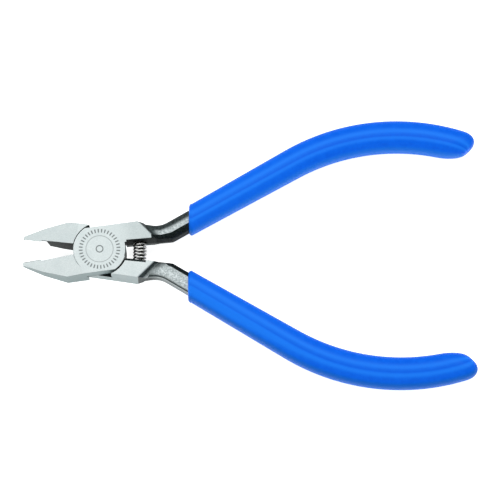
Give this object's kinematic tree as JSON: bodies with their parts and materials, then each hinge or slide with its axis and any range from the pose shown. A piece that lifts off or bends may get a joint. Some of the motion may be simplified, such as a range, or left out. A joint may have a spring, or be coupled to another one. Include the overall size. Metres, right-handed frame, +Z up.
{
  "type": "diagonal cutting pliers",
  "caption": "Small spring-opened diagonal cutting pliers with a riveted lap joint, tapered flush-cutting jaws, bowed handles and dipped plastic grips.",
  "frame": {"origin": "where the pivot axis meets the joint's lower flat face", "axes": "+X from the pivot towards the handle ends, along the tool's middle line; +Y towards the upper handle; +Z up along the pivot axis, square to the joint's flat faces. The jaws point to -X."},
  "size_m": [0.107, 0.0658, 0.007],
  "materials": {
    "forged_steel": "ground satin faces, dark forging scale inside the handle roots",
    "rivet_steel": "ground flush with the joint's faces",
    "spring_steel": "bright drawn wire",
    "blue_vinyl": "glossy dipped coating, slightly wavy"
  },
  "bodies": {
    "upper_handle": {"upper_handle_half": "forged_steel", "pivot_rivet": "rivet_steel", "coil_spring": "spring_steel", "upper_grip": "blue_vinyl"},
    "lower_handle": {"lower_handle_half": "forged_steel", "lower_grip": "blue_vinyl"}
  },
  "joints": [
    {"name": "pivot", "type": "hinge", "parent": "upper_handle", "child": "lower_handle", "pos_m": [0, 0, 0.00317], "axis": [0, 0, 1], "range_deg": [-8, 17.2], "stiffness_Nm_per_rad": 0.166, "deforming": ["coil_spring"]}
  ]
}
